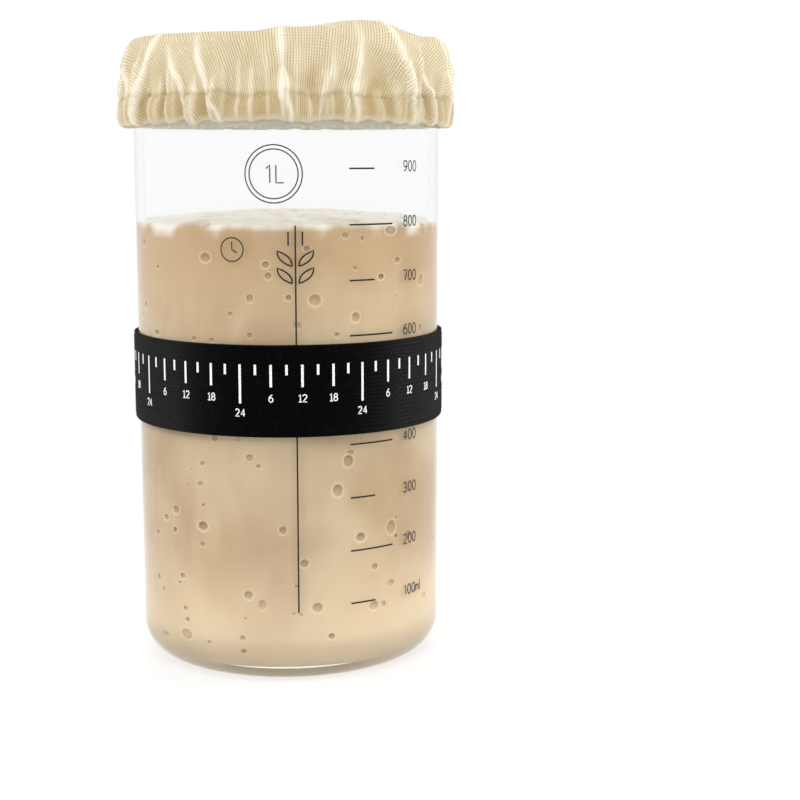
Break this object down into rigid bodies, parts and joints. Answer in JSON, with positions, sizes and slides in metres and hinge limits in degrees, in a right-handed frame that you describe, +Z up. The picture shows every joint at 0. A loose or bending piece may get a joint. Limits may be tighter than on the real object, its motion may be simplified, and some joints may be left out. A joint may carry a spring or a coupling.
{
  "type": "sourdough starter jar",
  "caption": "Straight glass jar of sourdough starter with a gathered cloth cover and an elastic time band that slides and turns on the glass.",
  "frame": {"origin": "centre of the jar's base, on the surface it stands on", "axes": "+Z up along the jar's axis, -Y towards the side with the printed scale, +X to its right"},
  "size_m": [0.1025, 0.1028, 0.1948],
  "materials": {
    "clear_glass": "gloss",
    "dough": "matte",
    "woven_band": "matte",
    "band_rubber": "matte",
    "knitted_cotton": "matte",
    "hem_rubber": "matte"
  },
  "bodies": {
    "jar": {"glass_jar": "clear_glass", "sourdough_starter": "dough"},
    "band_slider": {"band_core": "band_rubber"},
    "band": {"time_band": "woven_band"},
    "cover": {"cloth_cover": "knitted_cotton", "hem_elastic": "hem_rubber"}
  },
  "joints": [
    {"name": "cover_lift", "type": "slide", "parent": "jar", "child": "cover", "axis": [0, 0, 1], "range_m": [0, 0.12]},
    {"name": "band_slide", "type": "slide", "parent": "jar", "child": "band_slider", "axis": [0, 0, 1], "range_m": [-0.06, 0.062]},
    {"name": "band_turn", "type": "hinge", "parent": "band_slider", "child": "band", "pos_m": [0, 0, 0.0887], "axis": [0, 0, 1], "continuous": true}
  ]
}
